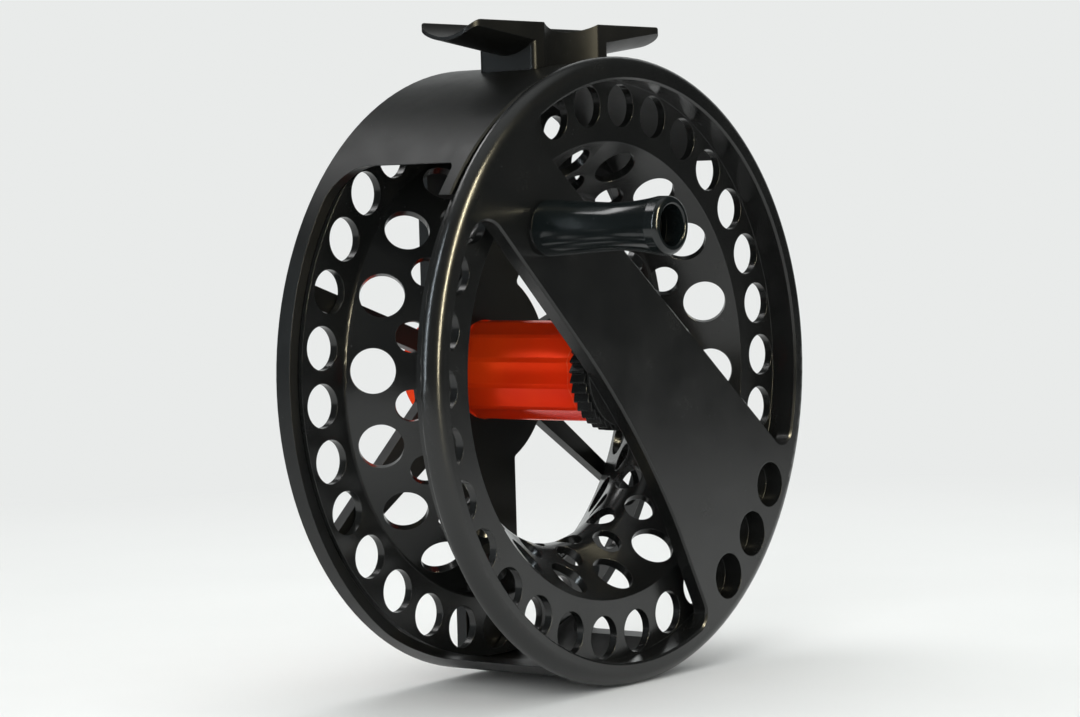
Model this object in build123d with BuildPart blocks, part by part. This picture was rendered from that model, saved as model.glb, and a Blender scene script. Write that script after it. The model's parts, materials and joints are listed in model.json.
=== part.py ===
from build123d import *
import math
import os

# Large-arbor fly reel, millimetres.
# Origin: lowest line of the reel foot's saddle, at its middle. +Z up towards the rod, +X along the
# rod seat, +Y towards the back of the reel. The spindle runs along Y, straight below the origin.
# A "depth" is a distance behind the spool's front face, and is negative in front of it.

# Driving dimensions
RIM_R = 55.0              # spool rim
SPINDLE_Z = -58.6         # spindle axis, below the saddle
FRONT_Y = -18.3           # the spool's front face
RUN = 0.03                # radial clearance of a running fit

# Spool
RIM_BORE_R = 50.9
RIM_DEPTH = 3.3
RIM_ROUND = 2.4
BAR_T = 2.9
SHELL_T = 1.5             # flanges and arbor
FLANGE_R = 51.7
FLANGE_INNER_R = 41.0     # where the flat flange turns into the cone
FRONT_FLANGE = 6.6        # depth of the front flange's line side
REAR_FLANGE = 31.7        # depth of the rear flange's line side
THROAT_APEX_R = 31.0      # where the two cones would meet if the throat were sharp
THROAT_ROUND = 5.0
EDGE_BREAK = 0.35
RIM_HOLES = 30
RIM_HOLE_CIRCLE_R = 46.8
RIM_HOLE_D = 7.6
RIM_HOLE_FRONT_PHASE = 0.5
RIM_HOLE_REAR_PHASE = 4.3
CONE_HOLES = 18
OUTER_CONE_HOLE_D = 7.8
OUTER_CONE_HOLE_OFFSET = 8.7
INNER_CONE_HOLE_D = 5.5
INNER_CONE_HOLE_OFFSET = 3.8
OUTER_CONE_PHASE = 17.0
INNER_CONE_PHASE = 7.0
BAR_UPPER_ENDS = (124.0, -21.0)     # where the bar's edges meet the rim's bore, in degrees
BAR_LOWER_ENDS = (144.0, -65.5)
BAR_BEND = ((-13.2, 3.2), (1.2, -13.2), (12.1, -29.5))
WEIGHT_HOLE_D = 8.3
WEIGHT_HOLE_CIRCLE_R = 47.4
WEIGHT_HOLE_ANGLES = (-29.6, -42.4, -55.2)
WEIGHT_HOLE_DEPTH = 3.6
WEIGHT_INNER_R = 41.6
WEIGHT_MARGIN = 3.0       # in degrees, hidden behind the bar on each side

# Frame
FRAME_R = 54.1
FRAME_BORE_R = 52.1
FRAME_FRONT = 4.7
PLATE_FRONT = 33.6
FRAME_REAR = 35.8
HUB_DISC_R = 18.1
TOP_STRAP = ((-15.1, 0), (-15.1, 53), (15.1, 53), (15.1, 24), (9.5, 15.4), (9.5, 0))
BOTTOM_STRAP_W = 15.4
ARM_W = 3.7
UPPER_ARM_ANGLES = (18.5, 161.8)
LOWER_RIGHT_ARM = ((12, -3.5), (46, -27.2), (45, -29.0), (12, -8.1))
LOWER_LEFT_ARM = ((-14, -1.5), (-45, -28.4), (-42.5, -31.5), (-12, -13))
PLATE_SKIN_T = 0.5        # left in front of the blind screw holes
WINDOW_TOP = 36.9         # above the spindle
WINDOW_BOTTOM = -49.5
WINDOW_REAR = 32.3
TOOTH_REAR = 7.2
TOOTH_BOTTOM = 31.6

# Foot
FOOT_LENGTH = 55.4
FOOT_WIDTH = 12.4
SADDLE_R = 8.4
BLADE_R = 8.9
BLADE_TIP_T = 0.6
BLADE_ROOT_T = 2.8
BLADE_CORNER_R = 2.2
PEDESTAL_LENGTH = 21.8
PEDESTAL_CORNER_R = 0.9
WAIST_LENGTH = 15.6
WAIST_WIDTH = 9.0
FOOT_SCREW_X = 6.0
FOOT_SCREW_R = 1.2
FOOT_SCREW_HEAD_Z = 52.0  # above the spindle
FOOT_SCREW_TOP_Z = 57.2

# Drag unit
HOUSING_R = 9.0
HOUSING_BORE_R = 7.8
CAP_FRONT = 6.9
HOUSING_FRONT = 8.4
HOUSING_REAR = 37.2
HOUSING_FLANGE_R = 13.2
HOUSING_SCREW_CIRCLE_R = 11.2
HOUSING_SCREW_R = 1.0
FLUTES = 12
FLUTE_DEPTH = 0.35
FLUTE_R = 12.0
DRIVE_FRONT = 3.6
DRIVE_WHEEL_REAR = 6.7
DRIVE_TOOTH_TIP_R = 10.45
DRIVE_TOOTH_ROOT_R = 9.7
DRIVE_TEETH = 36
SLEEVE_R = 5.6
SLEEVE_REAR = 19.0
SOCKET_REAR = 16.0
SOCKET_FLATS_R = 4.0
COLLAR_R = 4.55
SPINDLE_R = 2.25
SPINDLE_FRONT = 4.4
SPINDLE_REAR = 26.8
CLUTCH_R = 4.4
CONE_FRONT = 19.4
CONE_REAR = 26.4
CONE_FRONT_R = 7.0
CONE_REAR_R = 5.9
CONE_GAP = 0.12           # radial gap between the cones with the drag backed off
CUP_FRONT = 20.2
CUP_FLOOR = 27.7
CUP_REAR = 29.6
NUT_FRONT = 32.6
NUT_REAR = 34.4
STUD_R = 2.0
STUD_REAR = 44.0
GUIDE_PIN_R = 0.7
GUIDE_PIN_CIRCLE_R = 5.6

# Drag knob
KNOB_FRONT = 38.3
KNOB_REAR = 46.9
KNOB_R = 9.0
DETENT_CIRCLE_R = 6.0

# Handle
HANDLE_X = -24.6
HANDLE_Z = 25.6
GRIP_END = -26.2          # depth of the grip's free end
POST_R = 2.2
POST_END = -20.6
GRIP_BORE_R = 2.9
GRIP_BASE = -0.36         # depth of the grip's end at the bar
GRIP_BASE_R = 4.75
GRIP_NECK_R = 4.05
GRIP_RING_R = 4.85
GRIP_MOUTH_R = 3.4

SPINDLE_AXIS = Axis((0, 0, SPINDLE_Z), (0, 1, 0))
PROFILE = Plane(origin=(0, FRONT_Y, SPINDLE_Z), x_dir=(0, 1, 0), z_dir=(1, 0, 0))
HANDLE_AXIS = Axis((HANDLE_X, 0, SPINDLE_Z + HANDLE_Z), (0, 1, 0))
HANDLE_PROFILE = PROFILE.offset(HANDLE_X).shift_origin((HANDLE_X, FRONT_Y, SPINDLE_Z + HANDLE_Z))
MIDDLE = (FRONT_FLANGE + REAR_FLANGE) / 2
CONE_SLOPE = (FLANGE_INNER_R - THROAT_APEX_R) / (MIDDLE - FRONT_FLANGE)


def front_view(depth):
    """Plane at a depth, seen from the front: x right, y up, extruding towards the front."""
    return Plane(origin=(0, FRONT_Y + depth, SPINDLE_Z), x_dir=(1, 0, 0), z_dir=(0, -1, 0))


def section(*points):
    """Straight-sided profile of (depth, radius) points, to turn about the spindle."""
    with BuildSketch(PROFILE) as profile:
        with BuildLine():
            Polyline(*points, close=True)
        make_face()
    return profile.sketch


def handle_section(*points):
    """The same about the handle's own axis."""
    with BuildSketch(HANDLE_PROFILE) as profile:
        with BuildLine():
            Polyline(*points, close=True)
        make_face()
    return profile.sketch


def tube(front, rear, inner, outer):
    """Profile of a plain ring between two depths and two radii."""
    return section((front, inner), (front, outer), (rear, outer), (rear, inner))


def handle_tube(front, rear, inner, outer):
    """Profile of a plain ring about the handle's axis."""
    return handle_section((front, inner), (front, outer), (rear, outer), (rear, inner))


def polar(radius, angle):
    """Point on a circle about the spindle, seen from the front."""
    return (radius * math.cos(math.radians(angle)), radius * math.sin(math.radians(angle)))


def corners(sketch, *points):
    """The sketch's corners that lie at the given points of its own plane."""
    return [
        corner for corner in sketch.vertices()
        if any(math.hypot(corner.X - x, corner.Y - y) < 0.05 for x, y in points)
    ]


def flute_outline(radius):
    """A round bar's outline with shallow flutes all round, seen from the front."""
    with BuildSketch(front_view(0)) as outline:
        Circle(radius)
        with PolarLocations(radius + FLUTE_R - FLUTE_DEPTH, FLUTES):
            Circle(FLUTE_R, mode=Mode.SUBTRACT)
    return outline.sketch_local


def cone_hole_planes(offset, phase):
    """Planes on the arbor, square to its wall, at an axial offset from the middle."""
    slope = CONE_SLOPE if offset > 0 else -CONE_SLOPE
    slope = slope if offset else 0
    radius = THROAT_APEX_R + abs(offset) * CONE_SLOPE
    planes = []
    for hole in range(CONE_HOLES):
        x, z = polar(1, phase + hole * 360 / CONE_HOLES)
        planes.append(Plane(
            origin=(radius * x, FRONT_Y + MIDDLE + offset, SPINDLE_Z + radius * z),
            z_dir=(x, -slope, z),
        ))
    return planes


def finish(part, name):
    """Label a finished piece and write its STEP file."""
    part.label = name
    export_step(part, f"parts/{name}.step")


os.makedirs("parts", exist_ok=True)

# ---------------------------------------------------------------- frame
with BuildPart() as frame:
    with BuildSketch(front_view(FRAME_REAR)):
        Circle(FRAME_R)
        Circle(FRAME_BORE_R, mode=Mode.SUBTRACT)
    extrude(amount=FRAME_REAR - FRAME_FRONT)
    chamfer(frame.edges().group_by(Axis.Y)[0], 0.3)
    chamfer(frame.edges().group_by(Axis.Y)[-1].sort_by(SortBy.RADIUS)[-1], 0.5)
    with BuildSketch(front_view(FRAME_REAR)) as plate_outline:
        Circle(HUB_DISC_R)
        with Locations((0, -FRAME_BORE_R / 2)):
            Rectangle(BOTTOM_STRAP_W, FRAME_BORE_R + 1)
        for arm_angle in UPPER_ARM_ANGLES:
            with PolarLocations(FRAME_BORE_R / 2, 1, start_angle=arm_angle):
                Rectangle(FRAME_BORE_R + 1, ARM_W)
        for arm_points in (TOP_STRAP, LOWER_RIGHT_ARM, LOWER_LEFT_ARM):
            with BuildLine():
                Polyline(*arm_points, close=True)
            make_face()
        Circle(FRAME_BORE_R + 0.5, mode=Mode.INTERSECT)
        disc_corners = [
            corner for corner in plate_outline.vertices()
            if abs(math.hypot(corner.X, corner.Y) - HUB_DISC_R) < 0.05
        ]
        fillet(disc_corners, 0.8)
    extrude(amount=FRAME_REAR - PLATE_FRONT)
    # Side windows, cut straight through both sides and open at the front
    with BuildSketch(PROFILE) as window:
        with BuildLine():
            Polyline(
                (TOOTH_REAR, WINDOW_TOP),
                (WINDOW_REAR, WINDOW_TOP),
                (WINDOW_REAR, WINDOW_BOTTOM),
                (FRAME_FRONT - 2, WINDOW_BOTTOM),
                (FRAME_FRONT - 2, TOOTH_BOTTOM),
                (TOOTH_REAR, TOOTH_BOTTOM),
                close=True,
            )
        make_face()
        fillet(corners(window, (WINDOW_REAR, WINDOW_TOP), (WINDOW_REAR, WINDOW_BOTTOM)), 6.0)
        fillet(corners(window, (TOOTH_REAR, WINDOW_TOP)), 1.2)
    extrude(amount=FRAME_R + 5, both=True, mode=Mode.SUBTRACT)
    # Bore and screw holes for the drag unit
    with BuildSketch(front_view(FRAME_REAR)):
        Circle(HOUSING_R + RUN)
    extrude(amount=FRAME_REAR - PLATE_FRONT, mode=Mode.SUBTRACT)
    with BuildSketch(front_view(FRAME_REAR)):
        with PolarLocations(HOUSING_SCREW_CIRCLE_R, 3, start_angle=90):
            Circle(HOUSING_SCREW_R + RUN)
    extrude(amount=FRAME_REAR - PLATE_FRONT - PLATE_SKIN_T, mode=Mode.SUBTRACT)
    # Countersunk holes for the foot screws, from inside the band
    for screw_x in (-FOOT_SCREW_X, FOOT_SCREW_X):
        sink = Plane(origin=(screw_x, 0, SPINDLE_Z + FOOT_SCREW_HEAD_Z - 0.6), z_dir=(0, 0, -1))
        with Locations(sink):
            CounterSinkHole(FOOT_SCREW_R + 0.1, 2.8, depth=4)
finish(frame.part, "frame")

# ---------------------------------------------------------------- reel foot
blade_taper = math.atan2(BLADE_ROOT_T - BLADE_TIP_T, (FOOT_LENGTH - PEDESTAL_LENGTH) / 2)
blade_overrun = 2.0

with BuildPart() as blades:
    for side in (-1, 1):
        blade_start = Plane(
            origin=(
                side * (FOOT_LENGTH / 2 + blade_overrun),
                0,
                BLADE_R - BLADE_TIP_T + blade_overrun * math.tan(blade_taper),
            ),
            x_dir=(0, 1, 0),
            z_dir=(-side * math.cos(blade_taper), 0, -math.sin(blade_taper)),
        )
        with BuildSketch(blade_start):
            Circle(BLADE_R)
        extrude(amount=FOOT_LENGTH / 2 + blade_overrun)

with BuildPart() as reel_foot:
    with BuildSketch(Plane.XY.offset(-6)):
        RectangleRounded(PEDESTAL_LENGTH, FOOT_WIDTH, PEDESTAL_CORNER_R)
    extrude(amount=10)
    add(blades.part)
    # Outline from above, with a waist on each side
    waist_depth = (FOOT_WIDTH - WAIST_WIDTH) / 2
    waist_r = (waist_depth**2 + (WAIST_LENGTH / 2) ** 2) / (2 * waist_depth)
    with BuildSketch(Plane.XY.offset(-SADDLE_R)) as foot_outline:
        RectangleRounded(FOOT_LENGTH, FOOT_WIDTH, BLADE_CORNER_R)
        with Locations((0, WAIST_WIDTH / 2 + waist_r), (0, -WAIST_WIDTH / 2 - waist_r)):
            Circle(waist_r, mode=Mode.SUBTRACT)
        waist_ends = [
            corner for corner in foot_outline.vertices()
            if abs(abs(corner.X) - WAIST_LENGTH / 2) < 0.05
        ]
        fillet(waist_ends, PEDESTAL_CORNER_R)
    extrude(amount=SADDLE_R + 4, mode=Mode.INTERSECT)
    # Saddle that fits the rod seat's barrel
    with BuildSketch(Plane.YZ.offset(-FOOT_LENGTH / 2)):
        with Locations((0, SADDLE_R)):
            Circle(SADDLE_R)
    extrude(amount=FOOT_LENGTH, mode=Mode.SUBTRACT)
    with BuildSketch(front_view(0)):
        Circle(FRAME_R + 0.01)
    extrude(amount=-40, mode=Mode.SUBTRACT)
    with BuildSketch(Plane.XY.offset(-6)):
        with Locations((-FOOT_SCREW_X, 0), (FOOT_SCREW_X, 0)):
            Circle(FOOT_SCREW_R + RUN)
    extrude(amount=6 + SPINDLE_Z + FOOT_SCREW_TOP_Z + 0.2, mode=Mode.SUBTRACT)
finish(reel_foot.part, "reel_foot")

with BuildPart() as foot_screws:
    for screw_x in (-FOOT_SCREW_X, FOOT_SCREW_X):
        with BuildSketch(Plane(origin=(screw_x, 0, SPINDLE_Z), z_dir=(0, -1, 0), x_dir=(1, 0, 0))):
            with BuildLine():
                Polyline(
                    (0, FOOT_SCREW_HEAD_Z + 0.5),
                    (0.7, FOOT_SCREW_HEAD_Z + 0.5),
                    (0.7, FOOT_SCREW_HEAD_Z),
                    (2.2, FOOT_SCREW_HEAD_Z),
                    (FOOT_SCREW_R, FOOT_SCREW_HEAD_Z + 1.15),
                    (FOOT_SCREW_R, FOOT_SCREW_TOP_Z),
                    (0, FOOT_SCREW_TOP_Z),
                    close=True,
                )
            make_face()
        revolve(axis=Axis((screw_x, 0, 0), (0, 0, 1)))
finish(foot_screws.part, "foot_screws")

# ---------------------------------------------------------------- spool
with BuildPart() as spool:
    shell_drop = SHELL_T * math.hypot(1, CONE_SLOPE)
    inner_apex = THROAT_APEX_R - shell_drop
    front_inner = FRONT_FLANGE - SHELL_T
    rear_outer = REAR_FLANGE + SHELL_T
    inner_edge = inner_apex + CONE_SLOPE * (rear_outer - MIDDLE)
    with BuildSketch(PROFILE) as spool_section:
        with BuildLine():
            Polyline(
                (0, RIM_BORE_R),
                (0, RIM_R),
                (RIM_DEPTH, RIM_R),
                (RIM_DEPTH, FLANGE_R),
                (FRONT_FLANGE, FLANGE_R),
                (FRONT_FLANGE, FLANGE_INNER_R),
                (MIDDLE, THROAT_APEX_R),
                (REAR_FLANGE, FLANGE_INNER_R),
                (REAR_FLANGE, FLANGE_R),
                (rear_outer, FLANGE_R),
                (rear_outer, inner_edge),
                (MIDDLE, inner_apex),
                (front_inner, inner_edge),
                (front_inner, RIM_BORE_R),
                close=True,
            )
        make_face()
        fillet(corners(spool_section, (MIDDLE, THROAT_APEX_R)), THROAT_ROUND)
        fillet(corners(spool_section, (MIDDLE, inner_apex)), THROAT_ROUND + SHELL_T)
        fillet(corners(spool_section, (0, RIM_R)), RIM_ROUND)
        fillet(corners(spool_section, (RIM_DEPTH, RIM_R)), 0.6)
        flange_bends = ((FRONT_FLANGE, FLANGE_INNER_R), (REAR_FLANGE, FLANGE_INNER_R))
        fillet(corners(spool_section, *flange_bends), 0.8)
    revolve(axis=SPINDLE_AXIS)
    # Flange holes
    with BuildSketch(front_view(FRONT_FLANGE)):
        with PolarLocations(RIM_HOLE_CIRCLE_R, RIM_HOLES, start_angle=RIM_HOLE_FRONT_PHASE):
            Circle(RIM_HOLE_D / 2)
    extrude(amount=SHELL_T, mode=Mode.SUBTRACT)
    with BuildSketch(front_view(rear_outer)):
        with PolarLocations(RIM_HOLE_CIRCLE_R, RIM_HOLES, start_angle=RIM_HOLE_REAR_PHASE):
            Circle(RIM_HOLE_D / 2)
    extrude(amount=SHELL_T, mode=Mode.SUBTRACT)
    # Arbor holes: two rows on each cone and one round the throat
    for cone_side in (-1, 1):
        with BuildSketch(*cone_hole_planes(cone_side * OUTER_CONE_HOLE_OFFSET, OUTER_CONE_PHASE)):
            Circle(OUTER_CONE_HOLE_D / 2)
        extrude(amount=4, both=True, mode=Mode.SUBTRACT)
        with BuildSketch(*cone_hole_planes(cone_side * INNER_CONE_HOLE_OFFSET, INNER_CONE_PHASE)):
            Circle(INNER_CONE_HOLE_D / 2)
        extrude(amount=4, both=True, mode=Mode.SUBTRACT)
    with BuildSketch(*cone_hole_planes(0, OUTER_CONE_PHASE)):
        Circle(INNER_CONE_HOLE_D / 2)
    extrude(amount=4, both=True, mode=Mode.SUBTRACT)
    # Face plate: the rim's bore is closed, then opened again on both sides of the diagonal bar
    with BuildSketch(front_view(BAR_T)):
        Circle(RIM_BORE_R + 0.5)
    extrude(amount=BAR_T)
    with BuildSketch(front_view(BAR_T)) as upper_window:
        with BuildLine():
            upper_start = polar(RIM_BORE_R, BAR_UPPER_ENDS[0])
            upper_end = polar(RIM_BORE_R, BAR_UPPER_ENDS[1])
            Line(upper_start, upper_end)
            ThreePointArc(upper_end, polar(RIM_BORE_R, 45), upper_start)
        make_face()
        fillet(corners(upper_window, upper_start, upper_end), 3.2)
    extrude(amount=BAR_T, mode=Mode.SUBTRACT)
    with BuildSketch(front_view(BAR_T)) as lower_window:
        with BuildLine():
            lower_start = polar(RIM_BORE_R, BAR_LOWER_ENDS[0])
            lower_end = polar(RIM_BORE_R, BAR_LOWER_ENDS[1])
            Line(lower_start, BAR_BEND[0])
            ThreePointArc(*BAR_BEND)
            Line(BAR_BEND[2], lower_end)
            ThreePointArc(lower_end, polar(RIM_BORE_R, 220), lower_start)
        make_face()
        fillet(corners(lower_window, lower_start), 5.0)
        fillet(corners(lower_window, lower_end), 3.2)
    extrude(amount=BAR_T, mode=Mode.SUBTRACT)
    window_edges = [
        edge for edge in spool.edges().group_by(Axis.Y)[0]
        if edge.bounding_box().size.Y < 0.01 and edge.center().Y < FRONT_Y + 0.01
        and edge.length < 2 * math.pi * RIM_BORE_R * 0.99
    ]
    chamfer(window_edges, EDGE_BREAK)
    # Counterweight behind the face, with its blind holes, on the side away from the handle
    weight_from = BAR_UPPER_ENDS[1] - WEIGHT_MARGIN
    weight_to = BAR_LOWER_ENDS[1] + WEIGHT_MARGIN
    with BuildSketch(front_view(front_inner)):
        with BuildLine():
            outer_arc = CenterArc((0, 0), RIM_BORE_R + 0.3, weight_to, weight_from - weight_to)
            inner_arc = CenterArc((0, 0), WEIGHT_INNER_R, weight_to, weight_from - weight_to)
            Line(outer_arc @ 0, inner_arc @ 0)
            Line(outer_arc @ 1, inner_arc @ 1)
        make_face()
    extrude(amount=front_inner - BAR_T)
    with BuildSketch(front_view(WEIGHT_HOLE_DEPTH)):
        with Locations(*[polar(WEIGHT_HOLE_CIRCLE_R, angle) for angle in WEIGHT_HOLE_ANGLES]):
            Circle(WEIGHT_HOLE_D / 2)
    extrude(amount=WEIGHT_HOLE_DEPTH, mode=Mode.SUBTRACT)
    # Hub: a round collar and a hexagonal spigot behind the bar, bored for the bushing
    with BuildSketch(front_view(15.4)):
        RegularPolygon(SOCKET_FLATS_R - 0.1, 6, major_radius=False)
    extrude(amount=9.0)
    with BuildSketch(front_view(6.5)):
        Circle(COLLAR_R)
    extrude(amount=6.5 - BAR_T)
    with BuildSketch(front_view(3.4)):
        Circle(DRIVE_TOOTH_ROOT_R)
    extrude(amount=3.4 - BAR_T)
    with BuildSketch(front_view(15.4)):
        Circle(3.0)
    extrude(amount=15.4 - 3.8, mode=Mode.SUBTRACT)
    # Blind threaded hole for the handle's post
    with BuildSketch(front_view(2.4)):
        with Locations((HANDLE_X, HANDLE_Z)):
            Circle(1.88)
    extrude(amount=2.4, mode=Mode.SUBTRACT)
finish(spool.part, "spool")

with BuildPart() as spool_bushing:
    revolve(tube(5.0, 15.2, SPINDLE_R + RUN, 2.99), axis=SPINDLE_AXIS)
finish(spool_bushing.part, "spool_bushing")

# ---------------------------------------------------------------- handle
with BuildPart() as handle_post:
    revolve(
        handle_section(
            (2.3, 0), (2.3, 1.85), (-0.02, 1.85), (-0.02, POST_R), (POST_END, POST_R),
            (POST_END, 1.02), (-13.6, 1.02), (-13.6, 0),
        ),
        axis=HANDLE_AXIS,
    )
finish(handle_post.part, "handle_post")

with BuildPart() as handle_washer:
    revolve(handle_tube(-0.3, -0.02, POST_R + 0.05, 4.2), axis=HANDLE_AXIS)
finish(handle_washer.part, "handle_washer")

with BuildPart() as handle_screw:
    revolve(
        handle_section(
            (-14.0, 0), (-14.0, 1.0), (POST_END - 0.02, 1.0), (POST_END - 0.02, 3.1),
            (-21.6, 3.1), (-22.0, 2.7), (-22.0, 0),
        ),
        axis=HANDLE_AXIS,
    )
    driver_socket = Plane(
        origin=(HANDLE_X, FRONT_Y - 22.0, SPINDLE_Z + HANDLE_Z), x_dir=(1, 0, 0), z_dir=(0, -1, 0)
    )
    with BuildSketch(driver_socket):
        RegularPolygon(1.0, 6, major_radius=False)
    extrude(amount=-1.0, mode=Mode.SUBTRACT)
finish(handle_screw.part, "handle_screw")

with BuildPart() as handle_grip:
    with BuildSketch(HANDLE_PROFILE) as grip_section:
        with BuildLine():
            Polyline((GRIP_BASE, GRIP_BORE_R), (GRIP_BASE, GRIP_BASE_R), (-2.0, GRIP_BASE_R))
            Spline(
                (-2.0, GRIP_BASE_R), (-9.0, 4.3), (-17.0, GRIP_NECK_R), (-23.6, GRIP_RING_R),
                tangents=[(-1, -0.08), (-1, 0.2)],
            )
            Polyline(
                (-23.6, GRIP_RING_R), (GRIP_END, GRIP_RING_R), (GRIP_END, GRIP_MOUTH_R),
                (POST_END + 0.12, GRIP_MOUTH_R), (POST_END + 0.12, GRIP_BORE_R),
                (GRIP_BASE, GRIP_BORE_R),
            )
        make_face()
        fillet(corners(grip_section, (GRIP_BASE, GRIP_BASE_R)), 0.5)
        fillet(corners(grip_section, (GRIP_END, GRIP_RING_R)), 0.9)
        fillet(corners(grip_section, (GRIP_END, GRIP_MOUTH_R)), 0.4)
    revolve(axis=HANDLE_AXIS)
finish(handle_grip.part, "handle_grip")

with BuildPart() as handle_bushings:
    revolve(handle_tube(-5.5, -0.5, POST_R + RUN, GRIP_BORE_R - 0.01), axis=HANDLE_AXIS)
    revolve(handle_tube(-20.4, -15.4, POST_R + RUN, GRIP_BORE_R - 0.01), axis=HANDLE_AXIS)
finish(handle_bushings.part, "handle_bushings")

# ---------------------------------------------------------------- drag housing, fixed to the frame
with BuildPart() as drag_housing:
    with BuildSketch(front_view(HOUSING_REAR)):
        add(flute_outline(HOUSING_R))
    extrude(amount=HOUSING_REAR - HOUSING_FRONT)
    revolve(
        section(
            (PLATE_FRONT, 0), (PLATE_FRONT, HOUSING_R), (FRAME_REAR, HOUSING_R),
            (FRAME_REAR, HOUSING_FLANGE_R), (HOUSING_REAR - 0.3, HOUSING_FLANGE_R),
            (HOUSING_REAR, HOUSING_FLANGE_R - 0.3), (HOUSING_REAR, 0),
        ),
        axis=SPINDLE_AXIS,
    )
    revolve(tube(HOUSING_FRONT - 1, FRAME_REAR, 0, HOUSING_BORE_R), axis=SPINDLE_AXIS, mode=Mode.SUBTRACT)
    revolve(
        tube(FRAME_REAR - 1, HOUSING_REAR + 1, 0, STUD_R + 0.05), axis=SPINDLE_AXIS, mode=Mode.SUBTRACT
    )
    with BuildSketch(front_view(HOUSING_REAR)):
        with PolarLocations(HOUSING_SCREW_CIRCLE_R, 3, start_angle=90):
            Circle(HOUSING_SCREW_R + 0.05)
    extrude(amount=HOUSING_REAR - FRAME_REAR, mode=Mode.SUBTRACT)
    with BuildSketch(front_view(HOUSING_REAR - 0.3)):
        with PolarLocations(GUIDE_PIN_CIRCLE_R, 2):
            Circle(GUIDE_PIN_R + 0.01)
    extrude(amount=HOUSING_REAR - 0.3 - FRAME_REAR, mode=Mode.SUBTRACT)
finish(drag_housing.part, "drag_housing")

with BuildPart() as housing_cap:
    with BuildSketch(front_view(HOUSING_FRONT)):
        add(flute_outline(HOUSING_R))
        Circle(SLEEVE_R + 0.3, mode=Mode.SUBTRACT)
    extrude(amount=HOUSING_FRONT - CAP_FRONT)
    revolve(tube(HOUSING_FRONT, 9.9, 7.15, HOUSING_BORE_R - 0.01), axis=SPINDLE_AXIS)
finish(housing_cap.part, "housing_cap")

with BuildPart() as housing_seal:
    revolve(tube(8.5, 9.8, SLEEVE_R + 0.06, 7.13), axis=SPINDLE_AXIS)
finish(housing_seal.part, "housing_seal")

with BuildPart() as housing_screws:
    with BuildSketch(front_view(HOUSING_REAR)):
        with PolarLocations(HOUSING_SCREW_CIRCLE_R, 3, start_angle=90):
            Circle(HOUSING_SCREW_R)
    extrude(amount=HOUSING_REAR - PLATE_FRONT - PLATE_SKIN_T - 0.1)
    with BuildSketch(front_view(HOUSING_REAR + 1.1)):
        with PolarLocations(HOUSING_SCREW_CIRCLE_R, 3, start_angle=90):
            Circle(1.7)
    extrude(amount=1.1)
    chamfer(housing_screws.edges().group_by(Axis.Y)[-1], 0.3)
    with BuildSketch(front_view(HOUSING_REAR + 1.1)):
        with PolarLocations(HOUSING_SCREW_CIRCLE_R, 3, start_angle=90):
            RegularPolygon(0.7, 6, major_radius=False)
    extrude(amount=0.7, mode=Mode.SUBTRACT)
finish(housing_screws.part, "housing_screws")

for bearing_name, bearing_front in (("front_bearing", 10.1), ("rear_bearing", 15.0)):
    with BuildPart() as bearing:
        revolve(tube(bearing_front, bearing_front + 2.5, SLEEVE_R + RUN, 6.2), axis=SPINDLE_AXIS)
        revolve(tube(bearing_front, bearing_front + 2.5, 7.15, HOUSING_BORE_R - 0.01), axis=SPINDLE_AXIS)
        with BuildSketch(front_view(bearing_front + 1.25)) as ball_ring:
            with PolarLocations(6.675, 14):
                Circle(0.1)
        ball_places = [face.center() for face in ball_ring.sketch.faces()]
        with Locations(*ball_places):
            Sphere(0.46)
    finish(bearing.part, bearing_name)

with BuildPart() as bearing_spacer:
    revolve(tube(12.7, 14.9, 7.2, HOUSING_BORE_R - 0.01), axis=SPINDLE_AXIS)
finish(bearing_spacer.part, "bearing_spacer")

with BuildPart() as guide_pins:
    with BuildSketch(front_view(HOUSING_REAR - 0.4)):
        with PolarLocations(GUIDE_PIN_CIRCLE_R, 2):
            Circle(GUIDE_PIN_R)
    extrude(amount=HOUSING_REAR - 0.4 - 28.6)
finish(guide_pins.part, "guide_pins")

# ---------------------------------------------------------------- rotor, turning with the spool
with BuildPart() as drive_hub:
    tooth_points = []
    tooth_pitch = 360 / DRIVE_TEETH
    for tooth in range(DRIVE_TEETH):
        tooth_points.append(polar(DRIVE_TOOTH_ROOT_R, tooth * tooth_pitch))
        tooth_points.append(polar(DRIVE_TOOTH_TIP_R, (tooth + 0.7) * tooth_pitch))
        tooth_points.append(polar(DRIVE_TOOTH_TIP_R, (tooth + 0.85) * tooth_pitch))
    with BuildSketch(front_view(DRIVE_WHEEL_REAR)):
        with BuildLine():
            Polyline(*tooth_points, close=True)
        make_face()
    extrude(amount=DRIVE_WHEEL_REAR - DRIVE_FRONT)
    with BuildSketch(front_view(SLEEVE_REAR)):
        Circle(SLEEVE_R)
    extrude(amount=SLEEVE_REAR - DRIVE_FRONT)
    with BuildSketch(front_view(SOCKET_REAR)):
        RegularPolygon(SOCKET_FLATS_R, 6, major_radius=False)
    extrude(amount=SOCKET_REAR - DRIVE_FRONT, mode=Mode.SUBTRACT)
    revolve(tube(DRIVE_FRONT, 6.6, 0, COLLAR_R + 0.1), axis=SPINDLE_AXIS, mode=Mode.SUBTRACT)
    revolve(tube(4.6, 5.4, 4, 5.45), axis=SPINDLE_AXIS, mode=Mode.SUBTRACT)
    revolve(tube(SOCKET_REAR - 1, SLEEVE_REAR, 0, SPINDLE_R + 0.01), axis=SPINDLE_AXIS, mode=Mode.SUBTRACT)
    revolve(tube(17.65, 18.25, 5.2, SLEEVE_R + 1), axis=SPINDLE_AXIS, mode=Mode.SUBTRACT)
finish(drive_hub.part, "drive_hub")

with BuildPart() as spool_retainer:
    with BuildSketch(PROFILE):
        with Locations((5.0, 5.02)):
            Circle(0.38)
    revolve(axis=SPINDLE_AXIS)
finish(spool_retainer.part, "spool_retainer")

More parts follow.
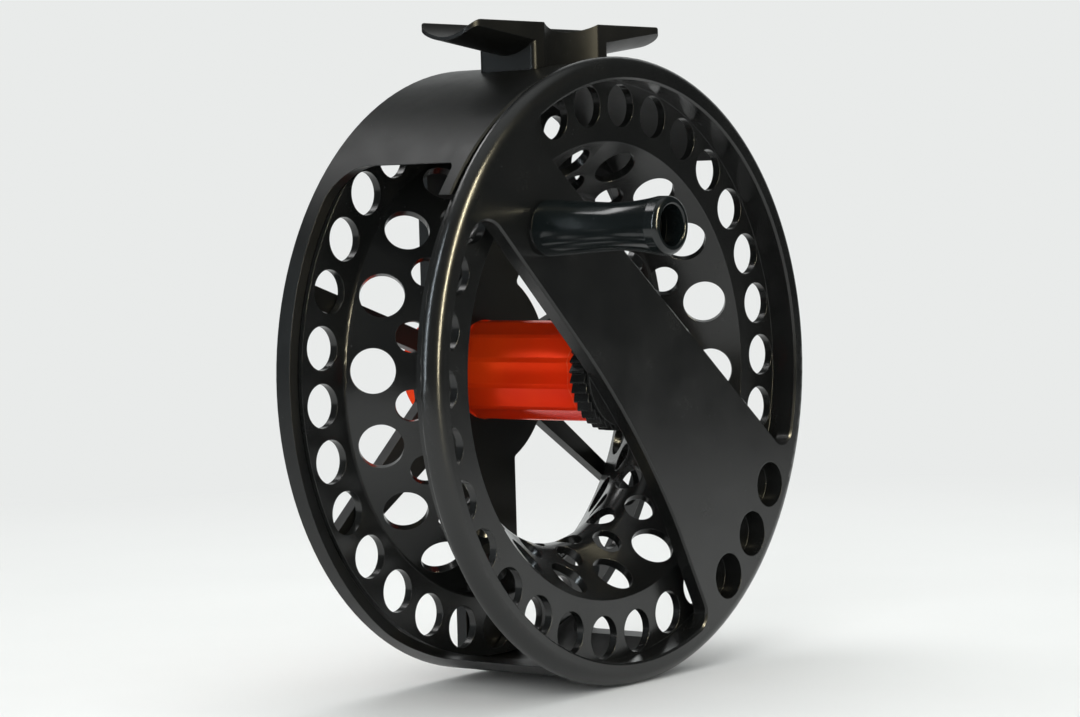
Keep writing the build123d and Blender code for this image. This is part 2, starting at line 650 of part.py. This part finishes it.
with BuildPart() as retaining_clip:
    with BuildSketch(front_view(18.2)):
        Circle(6.9)
        Circle(5.25, mode=Mode.SUBTRACT)
        with Locations((0, -6)):
            Rectangle(3, 4, mode=Mode.SUBTRACT)
    extrude(amount=0.5)
finish(retaining_clip.part, "retaining_clip")

with BuildPart() as spindle:
    revolve(
        section(
            (SPINDLE_FRONT, 0), (SPINDLE_FRONT, SPINDLE_R - 0.4), (SPINDLE_FRONT + 0.4, SPINDLE_R),
            (SPINDLE_REAR - 0.4, SPINDLE_R), (SPINDLE_REAR, SPINDLE_R - 0.4), (SPINDLE_REAR, 0),
        ),
        axis=SPINDLE_AXIS,
    )
finish(spindle.part, "spindle")

with BuildPart() as one_way_clutch:
    revolve(tube(19.6, 25.0, 3.95, CLUTCH_R), axis=SPINDLE_AXIS)
    with BuildSketch(front_view(24.8)):
        with PolarLocations(3.1, 8):
            Circle(0.78)
    extrude(amount=5.0)
finish(one_way_clutch.part, "one_way_clutch")

with BuildPart() as drag_cone:
    revolve(
        section(
            (CONE_FRONT, CLUTCH_R + 0.01), (CONE_FRONT, CONE_FRONT_R),
            (CONE_REAR, CONE_REAR_R), (CONE_REAR, CLUTCH_R + 0.01),
        ),
        axis=SPINDLE_AXIS,
    )
finish(drag_cone.part, "drag_cone")

# ---------------------------------------------------------------- pressure set, pushed forward by the knob
cone_taper = (CONE_FRONT_R - CONE_REAR_R) / (CONE_REAR - CONE_FRONT)
cup_mouth_r = CONE_FRONT_R - cone_taper * (CUP_FRONT - CONE_FRONT) + CONE_GAP
cup_floor_r = CONE_FRONT_R - cone_taper * (CUP_FLOOR - CONE_FRONT) + CONE_GAP

with BuildPart() as drag_cup:
    revolve(
        section(
            (CUP_FRONT, cup_mouth_r), (CUP_FRONT, HOUSING_BORE_R - 0.08),
            (CUP_REAR, HOUSING_BORE_R - 0.08), (CUP_REAR, 0), (CUP_FLOOR, 0), (CUP_FLOOR, cup_floor_r),
        ),
        axis=SPINDLE_AXIS,
    )
    with BuildSketch(front_view(CUP_REAR)):
        with PolarLocations(GUIDE_PIN_CIRCLE_R, 2):
            Circle(GUIDE_PIN_R + 0.08)
    extrude(amount=CUP_REAR - 28.0, mode=Mode.SUBTRACT)
finish(drag_cup.part, "drag_cup")

with BuildPart() as drag_spring:
    for washer in range(4):
        start = CUP_REAR + 0.1 + 0.68 * washer
        low, high = (4.6, 2.3) if washer % 2 == 0 else (2.3, 4.6)
        revolve(
            section((start, low), (start + 0.3, low), (start + 0.6, high), (start + 0.3, high)),
            axis=SPINDLE_AXIS,
        )
finish(drag_spring.part, "drag_spring")

with BuildPart() as pressure_nut:
    with BuildSketch(front_view(NUT_REAR)):
        Circle(6.6)
        Circle(STUD_R + 0.06, mode=Mode.SUBTRACT)
        with PolarLocations(GUIDE_PIN_CIRCLE_R, 2):
            Circle(GUIDE_PIN_R + 0.08, mode=Mode.SUBTRACT)
    extrude(amount=NUT_REAR - NUT_FRONT)
finish(pressure_nut.part, "pressure_nut")

# ---------------------------------------------------------------- drag knob
with BuildPart() as adjuster_stud:
    revolve(
        section(
            (30.3, 0), (30.3, STUD_R - 0.3), (30.6, STUD_R), (34.95, STUD_R), (34.95, 3.4),
            (35.7, 3.4), (35.7, STUD_R), (STUD_REAR, STUD_R), (STUD_REAR, 1.22), (38.0, 1.22), (38.0, 0),
        ),
        axis=SPINDLE_AXIS,
    )
finish(adjuster_stud.part, "adjuster_stud")

with BuildPart() as drag_knob:
    with BuildSketch(front_view(KNOB_REAR)):
        add(flute_outline(KNOB_R))
    extrude(amount=KNOB_REAR - KNOB_FRONT)
    # Turned shape: chamfered ends and a dished back
    revolve(
        section(
            (KNOB_FRONT - 1, 0), (KNOB_FRONT - 1, KNOB_R - 1.9), (KNOB_FRONT + 0.9, KNOB_R),
            (KNOB_REAR - 1.1, KNOB_R), (KNOB_REAR, KNOB_R - 1.1), (KNOB_REAR, KNOB_R - 2.4),
            (KNOB_REAR - 0.9, KNOB_R - 3.3), (KNOB_REAR - 0.9, 0),
        ),
        axis=SPINDLE_AXIS,
        mode=Mode.INTERSECT,
    )
    revolve(tube(KNOB_FRONT - 1, STUD_REAR + 0.1, 0, STUD_R + 0.02), axis=SPINDLE_AXIS, mode=Mode.SUBTRACT)
    revolve(tube(STUD_REAR + 0.1, KNOB_REAR + 1, 0, 4.2), axis=SPINDLE_AXIS, mode=Mode.SUBTRACT)
    with BuildSketch(front_view(KNOB_FRONT + 4.2)):
        with Locations(polar(DETENT_CIRCLE_R, 90)):
            Circle(0.85)
    extrude(amount=5.0, mode=Mode.SUBTRACT)
finish(drag_knob.part, "drag_knob")

with BuildPart() as knob_screw:
    revolve(
        section(
            (38.4, 0), (38.4, 1.2), (STUD_REAR + 0.12, 1.2), (STUD_REAR + 0.12, 3.8),
            (45.4, 3.8), (45.8, 3.4), (45.8, 0),
        ),
        axis=SPINDLE_AXIS,
    )
    with BuildSketch(front_view(45.8)):
        RegularPolygon(1.25, 6, major_radius=False)
    extrude(amount=1.1, mode=Mode.SUBTRACT)
finish(knob_screw.part, "knob_screw")

with BuildPart() as knob_seal:
    with BuildSketch(PROFILE):
        with Locations((37.75, 3.8)):
            Circle(0.5)
    revolve(axis=SPINDLE_AXIS)
finish(knob_seal.part, "knob_seal")

with BuildPart() as detent_ball:
    with Locations((0, FRONT_Y + 38.02, SPINDLE_Z + DETENT_CIRCLE_R)):
        Sphere(0.8)
finish(detent_ball.part, "detent_ball")

with BuildPart() as detent_spring:
    with BuildLine() as coil:
        Helix(
            pitch=0.75,
            height=3.0,
            radius=0.55,
            center=(0, FRONT_Y + 38.98, SPINDLE_Z + DETENT_CIRCLE_R),
            direction=(0, 1, 0),
        )
    with BuildSketch(Plane(origin=coil.line @ 0, z_dir=coil.line % 0)):
        Circle(0.14)
    sweep(path=coil.line)
finish(detent_spring.part, "detent_spring")
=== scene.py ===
import json
import math

import bpy
import bmesh
from mathutils import Matrix, Vector


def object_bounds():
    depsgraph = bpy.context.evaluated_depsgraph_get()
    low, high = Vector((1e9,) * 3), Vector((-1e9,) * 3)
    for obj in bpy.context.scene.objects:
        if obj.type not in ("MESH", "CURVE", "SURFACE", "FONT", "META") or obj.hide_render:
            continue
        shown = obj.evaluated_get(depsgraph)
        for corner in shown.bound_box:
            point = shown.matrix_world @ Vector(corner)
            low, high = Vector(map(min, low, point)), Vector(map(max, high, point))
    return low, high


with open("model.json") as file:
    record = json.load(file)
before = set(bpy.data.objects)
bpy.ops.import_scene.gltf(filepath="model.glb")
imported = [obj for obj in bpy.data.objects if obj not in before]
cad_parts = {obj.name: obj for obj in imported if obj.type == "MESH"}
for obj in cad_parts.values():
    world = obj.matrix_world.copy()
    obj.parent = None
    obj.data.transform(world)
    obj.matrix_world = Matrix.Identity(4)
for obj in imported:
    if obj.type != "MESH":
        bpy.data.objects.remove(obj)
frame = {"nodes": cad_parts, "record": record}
cad_low, cad_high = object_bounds()
nodes = frame["nodes"]
record = frame["record"]

# Camera, in metres, in the row frame.
CAMERA_AT = (-0.43865, -0.33827, -0.02924)
CAMERA_RIGHT = (0.61256, -0.78994, -0.02755)
CAMERA_UP = (0.05563, 0.00832, 0.99842)
SENSOR_WIDTH = 36.0
LENS = 103.63

SPINDLE_Z = -0.0586

# Studio, in metres and linear colour.
FLOOR_R = 0.5
FLAT_R = 1.3
RISE_R = 0.9
WALL_TOP = 2.6
BACKDROP = (0.815, 0.83, 0.822, 1.0)


def add_camera():
    right = Vector(CAMERA_RIGHT).normalized()
    up = Vector(CAMERA_UP).normalized()
    back = right.cross(up).normalized()
    up = back.cross(right)
    data = bpy.data.cameras.new("camera")
    data.sensor_width = SENSOR_WIDTH
    data.lens = LENS
    data.clip_start = 0.01
    data.clip_end = 100.0
    camera = bpy.data.objects.new("camera", data)
    bpy.context.scene.collection.objects.link(camera)
    turn = Matrix((right, up, back)).transposed().to_4x4()
    camera.matrix_world = Matrix.Translation(CAMERA_AT) @ turn
    bpy.context.scene.camera = camera


class Nodes:
    """A material's node tree, with short calls that add nodes and return their output sockets."""

    def __init__(self, name):
        self.material = bpy.data.materials.new(name)
        self.material.use_nodes = True
        self.tree = self.material.node_tree
        self.tree.nodes.clear()
        self.shader = self.tree.nodes.new("ShaderNodeBsdfPrincipled")
        output = self.tree.nodes.new("ShaderNodeOutputMaterial")
        self.tree.links.new(self.shader.outputs["BSDF"], output.inputs["Surface"])
        self.place = self.add("ShaderNodeTexCoord").outputs["Object"]

    def add(self, kind, **settings):
        node = self.tree.nodes.new(kind)
        for key, value in settings.items():
            setattr(node, key, value)
        return node

    def put(self, socket, value):
        """Links value into socket where it is a socket, and sets it where it is a number or colour."""
        if isinstance(value, bpy.types.NodeSocket):
            self.tree.links.new(value, socket)
        else:
            socket.default_value = value

    def noise(self, scale, detail=3.0, roughness=0.5, at=None):
        node = self.add("ShaderNodeTexNoise")
        self.put(node.inputs["Vector"], at or self.place)
        node.inputs["Scale"].default_value = scale
        node.inputs["Detail"].default_value = detail
        node.inputs["Roughness"].default_value = roughness
        return node.outputs["Fac"]

    def cells(self, scale, at=None):
        node = self.add("ShaderNodeTexVoronoi")
        self.put(node.inputs["Vector"], at or self.place)
        node.inputs["Scale"].default_value = scale
        return node.outputs["Distance"]

    def stretch(self, x, y, z, at=None):
        node = self.add("ShaderNodeMapping")
        self.put(node.inputs["Vector"], at or self.place)
        node.inputs["Scale"].default_value = (x, y, z)
        return node.outputs["Vector"]

    def math(self, operation, a, b=0.0, clamp=False):
        node = self.add("ShaderNodeMath", operation=operation, use_clamp=clamp)
        self.put(node.inputs[0], a)
        self.put(node.inputs[1], b)
        return node.outputs[0]

    def spread(self, value, low, high, out_low=0.0, out_high=1.0):
        """Value from low..high to out_low..out_high, held at both ends."""
        node = self.add("ShaderNodeMapRange", clamp=True)
        self.put(node.inputs["Value"], value)
        node.inputs["From Min"].default_value = low
        node.inputs["From Max"].default_value = high
        node.inputs["To Min"].default_value = out_low
        node.inputs["To Max"].default_value = out_high
        return node.outputs["Result"]

    def mix(self, share, a, b):
        node = self.add("ShaderNodeMix", data_type="RGBA")
        self.put(node.inputs[0], share)
        self.put(node.inputs[6], a)
        self.put(node.inputs[7], b)
        return node.outputs[2]

    def edges(self, radius, low=0.02, high=0.16):
        """1 on edges sharper than their surroundings, 0 on flat and smooth faces."""
        rounded = self.add("ShaderNodeBevel", samples=4)
        rounded.inputs["Radius"].default_value = radius
        true = self.add("ShaderNodeNewGeometry").outputs["Normal"]
        dot = self.add("ShaderNodeVectorMath", operation="DOT_PRODUCT")
        self.put(dot.inputs[0], rounded.outputs["Normal"])
        self.put(dot.inputs[1], true)
        return self.spread(self.math("SUBTRACT", 1.0, dot.outputs["Value"]), low, high)

    def turning(self, pitch, centre=(0.0, 0.0, SPINDLE_Z)):
        """Fine rings of a lathe round an axis along Y, from 0 to 1."""
        shifted = self.add("ShaderNodeVectorMath", operation="SUBTRACT")
        self.put(shifted.inputs[0], self.place)
        shifted.inputs[1].default_value = centre
        flat = self.add("ShaderNodeVectorMath", operation="MULTIPLY")
        self.put(flat.inputs[0], shifted.outputs["Vector"])
        flat.inputs[1].default_value = (1.0, 0.0, 1.0)
        length = self.add("ShaderNodeVectorMath", operation="LENGTH")
        self.put(length.inputs[0], flat.outputs["Vector"])
        depth = self.add("ShaderNodeSeparateXYZ")
        self.put(depth.inputs[0], self.place)
        along = self.math("ADD", length.outputs["Value"], self.math("MULTIPLY", depth.outputs["Y"], 0.83))
        wobble = self.math("MULTIPLY", self.noise(900.0), pitch * 0.6)
        turns = self.math("MULTIPLY", self.math("ADD", along, wobble), 2 * math.pi / pitch)
        return self.math("MULTIPLY_ADD", self.math("SINE", turns), 0.5)

    def bump(self, height, strength, distance, normal=None):
        node = self.add("ShaderNodeBump")
        node.inputs["Strength"].default_value = strength
        node.inputs["Distance"].default_value = distance
        self.put(node.inputs["Height"], height)
        if normal is not None:
            self.put(node.inputs["Normal"], normal)
        return node.outputs["Normal"]

    def soft_edges(self, radius):
        node = self.add("ShaderNodeBevel", samples=4)
        node.inputs["Radius"].default_value = radius
        return node.outputs["Normal"]

    def finish(self, color, roughness, normal, **constants):
        self.put(self.shader.inputs["Base Color"], color)
        self.put(self.shader.inputs["Roughness"], roughness)
        self.put(self.shader.inputs["Normal"], normal)
        for key, value in constants.items():
            self.shader.inputs[key.replace("_", " ")].default_value = value
        return self.material


def dust(n, share):
    """Sparse specks of lint, as a mask."""
    patches = n.spread(n.noise(70.0), 0.52, 0.66)
    specks = n.spread(n.cells(720.0), 0.05, 0.09, share, 0.0)
    return n.math("MULTIPLY", specks, patches)


def anodised(name, dark, light, worn, roughness, rings, grain, metallic, wear, lint, **constants):
    n = Nodes(name)
    cloud = n.spread(n.noise(38.0, 4.0), 0.3, 0.7)
    fine = n.noise(5200.0, 2.0)
    color = n.mix(cloud, dark, light)
    color = n.mix(n.math("MULTIPLY", n.edges(0.00028), n.spread(n.noise(650.0, 4.0), 0.35, 0.7, 0.0, wear)), color, worn)
    color = n.mix(dust(n, lint), color, (0.55, 0.56, 0.58, 1.0))
    rough = n.math("ADD", n.spread(n.noise(120.0, 5.0, 0.6), 0.3, 0.7, roughness - 0.04, roughness + 0.05),
                   n.spread(fine, 0.3, 0.7, -0.02, 0.02))
    normal = n.soft_edges(0.00018)
    normal = n.bump(fine, grain, 0.00001, normal)
    if rings:
        normal = n.bump(n.turning(0.00022), rings, 0.000004, normal)
    return n.finish(color, rough, normal, Metallic=metallic, **constants)


def metal(name, dark, light, roughness, rings, along=(1.0, 1.0, 1.0), centre=(0.0, 0.0, SPINDLE_Z), **constants):
    n = Nodes(name)
    streaks = n.noise(2200.0, 3.0, 0.6, n.stretch(*along))
    color = n.mix(n.spread(streaks, 0.3, 0.7), dark, light)
    color = n.mix(n.math("MULTIPLY", n.edges(0.00015), 0.35), color, (0.8, 0.8, 0.8, 1.0))
    rough = n.spread(n.noise(300.0, 4.0), 0.3, 0.7, roughness - 0.06, roughness + 0.08)
    normal = n.soft_edges(0.0001)
    normal = n.bump(streaks, 0.15, 0.000005, normal)
    if rings:
        normal = n.bump(n.turning(0.00018, centre), rings, 0.000003, normal)
    return n.finish(color, rough, normal, Metallic=1.0, **constants)


def moulded(name, dark, light, roughness, scale):
    n = Nodes(name)
    grain = n.noise(scale, 3.0)
    color = n.mix(n.spread(n.noise(200.0, 4.0), 0.3, 0.7), dark, light)
    rough = n.spread(n.noise(500.0), 0.3, 0.7, roughness - 0.06, roughness + 0.06)
    return n.finish(color, rough, n.bump(grain, 0.3, 0.00002), Metallic=0.0)


EDGE_WORN = (0.09, 0.09, 0.092, 1.0)
HANDLE_AXIS = (-0.0246, 0.0, -0.033)


def make_materials():
    made = {}
    made["blasted"] = anodised(
        "black_blasted", dark=(0.0028, 0.0031, 0.0031, 1.0), light=(0.0050, 0.0054, 0.0053, 1.0), worn=EDGE_WORN,
        roughness=0.40, rings=0.0, grain=0.12, metallic=0.0, wear=0.35, lint=0.08, Specular_IOR_Level=0.32,
    )
    made["turned"] = anodised(
        "black_turned", dark=(0.0052, 0.0056, 0.0055, 1.0), light=(0.0100, 0.0106, 0.0102, 1.0), worn=EDGE_WORN,
        roughness=0.22, rings=0.1, grain=0.04, metallic=0.0, wear=0.35, lint=0.08,
    )
    made["handle"] = anodised(
        "black_polished", dark=(0.004, 0.0058, 0.0060, 1.0), light=(0.006, 0.0085, 0.0088, 1.0),
        worn=(0.1, 0.1, 0.1, 1.0), roughness=0.15, rings=0.0, grain=0.01, metallic=0.0, wear=0.25, lint=0.06,
    )
    made["orange"] = anodised(
        "orange_polished", dark=(0.84, 0.024, 0.004, 1.0), light=(0.96, 0.062, 0.005, 1.0),
        worn=(0.95, 0.42, 0.22, 1.0), roughness=0.22, rings=0.0, grain=0.04, metallic=0.3, wear=0.4, lint=0.1,
        Specular_IOR_Level=0.2, Specular_Tint=(1.0, 0.3, 0.1, 1.0),
    )
    made["steel"] = metal("steel", (0.42, 0.42, 0.43, 1.0), (0.60, 0.60, 0.60, 1.0), 0.26, 0.3)
    made["aluminium"] = metal("aluminium", (0.62, 0.62, 0.64, 1.0), (0.76, 0.76, 0.77, 1.0), 0.32, 0.4)
    made["brass"] = metal("brass", (0.55, 0.36, 0.13, 1.0), (0.72, 0.50, 0.20, 1.0), 0.28, 0.3)
    made["black_screw"] = metal("black_oxide", (0.018, 0.018, 0.02, 1.0), (0.03, 0.03, 0.033, 1.0), 0.34, 0.3,
                                centre=HANDLE_AXIS)
    made["rubber"] = moulded("rubber", (0.010, 0.010, 0.010, 1.0), (0.020, 0.020, 0.020, 1.0), 0.6, 3000.0)
    made["polymer"] = moulded("polymer", (0.07, 0.065, 0.06, 1.0), (0.11, 0.10, 0.09, 1.0), 0.5, 2500.0)
    return made


SLOT_MATERIALS = {
    "black_anodised": "turned", "black_handle": "handle", "orange_anodised": "orange",
    "aluminium_plain": "aluminium", "steel": "steel", "black_screw": "black_screw", "brass": "brass",
    "rubber": "rubber", "polymer": "polymer",
}
NODE_MATERIALS = {"frame": "blasted", "reel_foot": "blasted"}


def dress_nodes(made):
    slots = {row["node"]: row["material_slot"] for row in record["subparts"]}
    for name, node in nodes.items():
        key = NODE_MATERIALS.get(name, SLOT_MATERIALS[slots[name]])
        for place in node.material_slots:
            place.material = made[key]


def turned_mesh(name, outline, segments=96):
    """A surface turned about the vertical axis from (radius, height) points, with a flat middle."""
    mesh = bpy.data.meshes.new(name)
    build = bmesh.new()
    rings = []
    for radius, height in outline:
        ring = []
        for k in range(segments):
            angle = 2 * math.pi * k / segments
            ring.append(build.verts.new((radius * math.cos(angle), radius * math.sin(angle), height)))
        rings.append(ring)
    if outline[0][0] < FLOOR_R:
        build.faces.new(rings[0])
    for inner, outer in zip(rings, rings[1:]):
        for k in range(segments):
            m = (k + 1) % segments
            build.faces.new((inner[k], outer[k], outer[m], inner[m]))
    for face in build.faces:
        face.smooth = True
    build.to_mesh(mesh)
    build.free()
    return mesh


def add_floor(low):
    """White paper that fades into an evenly lit backdrop, which curves up into a wall all round."""
    n = Nodes("floor_paper")
    flat = n.add("ShaderNodeVectorMath", operation="MULTIPLY")
    n.put(flat.inputs[0], n.place)
    flat.inputs[1].default_value = (1.0, 1.0, 0.0)
    length = n.add("ShaderNodeVectorMath", operation="LENGTH")
    n.put(length.inputs[0], flat.outputs["Vector"])
    lit = n.spread(length.outputs["Value"], 0.09, 0.8 * FLOOR_R, 1.0, 0.0)
    mottle = n.spread(n.noise(9.0, 4.0), 0.3, 0.7)
    paper = n.mix(mottle, (0.80, 0.81, 0.80, 1.0), (0.84, 0.85, 0.84, 1.0))
    n.put(n.shader.inputs["Emission Color"], n.mix(lit, BACKDROP, (0.0, 0.0, 0.0, 1.0)))
    n.shader.inputs["Emission Strength"].default_value = 1.0
    paper_made = n.finish(
        n.mix(lit, (0.0, 0.0, 0.0, 1.0), paper), n.spread(n.noise(60.0), 0.3, 0.7, 0.5, 0.6),
        n.bump(n.noise(900.0), 0.1, 0.0002), Specular_IOR_Level=0.0,
    )
    n = Nodes("backdrop")
    n.put(n.shader.inputs["Emission Color"], BACKDROP)
    n.shader.inputs["Emission Strength"].default_value = 1.0
    plain = n.finish((0.0, 0.0, 0.0, 1.0), 1.0, n.bump(n.noise(40.0), 0.02, 0.0002), Specular_IOR_Level=0.0)
    curve = [(FLAT_R + RISE_R * math.sin(a), low.z + RISE_R * (1 - math.cos(a)))
             for a in (math.radians(7.5 * k) for k in range(1, 13))]
    outlines = {
        "floor": ([(r * FLOOR_R, low.z) for r in (0.1, 0.3, 0.6, 1.0)], paper_made),
        "backdrop": ([(FLOOR_R, low.z), (FLAT_R, low.z)] + curve + [(FLAT_R + RISE_R, WALL_TOP)], plain),
    }
    for name, (outline, material) in outlines.items():
        mesh = turned_mesh(name, outline)
        mesh.materials.append(material)
        piece = bpy.data.objects.new(name, mesh)
        bpy.context.scene.collection.objects.link(piece)
        piece.visible_glossy = name == "floor"


def add_light(name, at, size, power, color=(1.0, 1.0, 1.0), strip=True):
    """An area light aimed at the reel: a strip only draws highlights, any other light only lights."""
    data = bpy.data.lights.new(name, "AREA")
    data.shape = "RECTANGLE"
    data.size, data.size_y = size
    data.energy = power
    data.color = color
    light = bpy.data.objects.new(name, data)
    light.location = at
    direction = Vector((0.0, 0.0, SPINDLE_Z)) - Vector(at)
    light.rotation_mode = "QUATERNION"
    light.rotation_quaternion = direction.to_track_quat("-Z", "Y")
    light.visible_glossy = strip
    light.visible_diffuse = not strip
    bpy.context.scene.collection.objects.link(light)


def add_world():
    """A dark room with a bright end behind the reel and a bright ceiling."""
    world = bpy.data.worlds.new("studio")
    bpy.context.scene.world = world
    world.use_nodes = True
    tree = world.node_tree
    background = tree.nodes["Background"]
    background.inputs["Color"].default_value = (0.93, 0.96, 0.95, 1.0)
    direction = tree.nodes.new("ShaderNodeTexCoord").outputs["Generated"]

    def towards(axis, start, full, brightness):
        dot = tree.nodes.new("ShaderNodeVectorMath")
        dot.operation = "DOT_PRODUCT"
        tree.links.new(direction, dot.inputs[0])
        dot.inputs[1].default_value = axis
        fade = tree.nodes.new("ShaderNodeMapRange")
        tree.links.new(dot.outputs["Value"], fade.inputs["Value"])
        fade.interpolation_type = "SMOOTHSTEP"
        fade.inputs["From Min"].default_value = start
        fade.inputs["From Max"].default_value = full
        fade.inputs["To Max"].default_value = brightness
        return fade.outputs["Result"]

    def total(a, b):
        node = tree.nodes.new("ShaderNodeMath")
        for socket, value in zip(node.inputs, (a, b)):
            if isinstance(value, float):
                socket.default_value = value
            else:
                tree.links.new(value, socket)
        return node.outputs[0]

    back_end = towards((0.79, 0.61, 0.0), 0.72, 0.98, 0.9)
    ceiling = towards((0.0, 0.0, 1.0), 0.72, 0.98, 0.6)
    tree.links.new(total(total(back_end, ceiling), 0.045), background.inputs["Strength"])


add_camera()
add_world()
dress_nodes(make_materials())
add_floor(cad_low)
add_light("overhead", (0.15, 0.1, 0.85), (0.9, 0.7), 4.9, strip=False)
add_light("fill", (-0.6, -0.25, 0.15), (0.3, 0.3), 1.6, strip=False)
add_light("rim_strip", (-0.11, -0.84, 0.3), (0.05, 0.8), 16.0, (1.0, 0.90, 0.62))
add_light("left_strip", (-0.8, 0.26, 0.25), (0.05, 0.8), 4.0, (0.82, 0.93, 1.0))
add_light("top_strip", (-0.12, 0.5, 0.62), (0.5, 0.10), 0.9)

scene = bpy.context.scene
scene.view_settings.view_transform = "Standard"
scene.view_settings.look = "None"
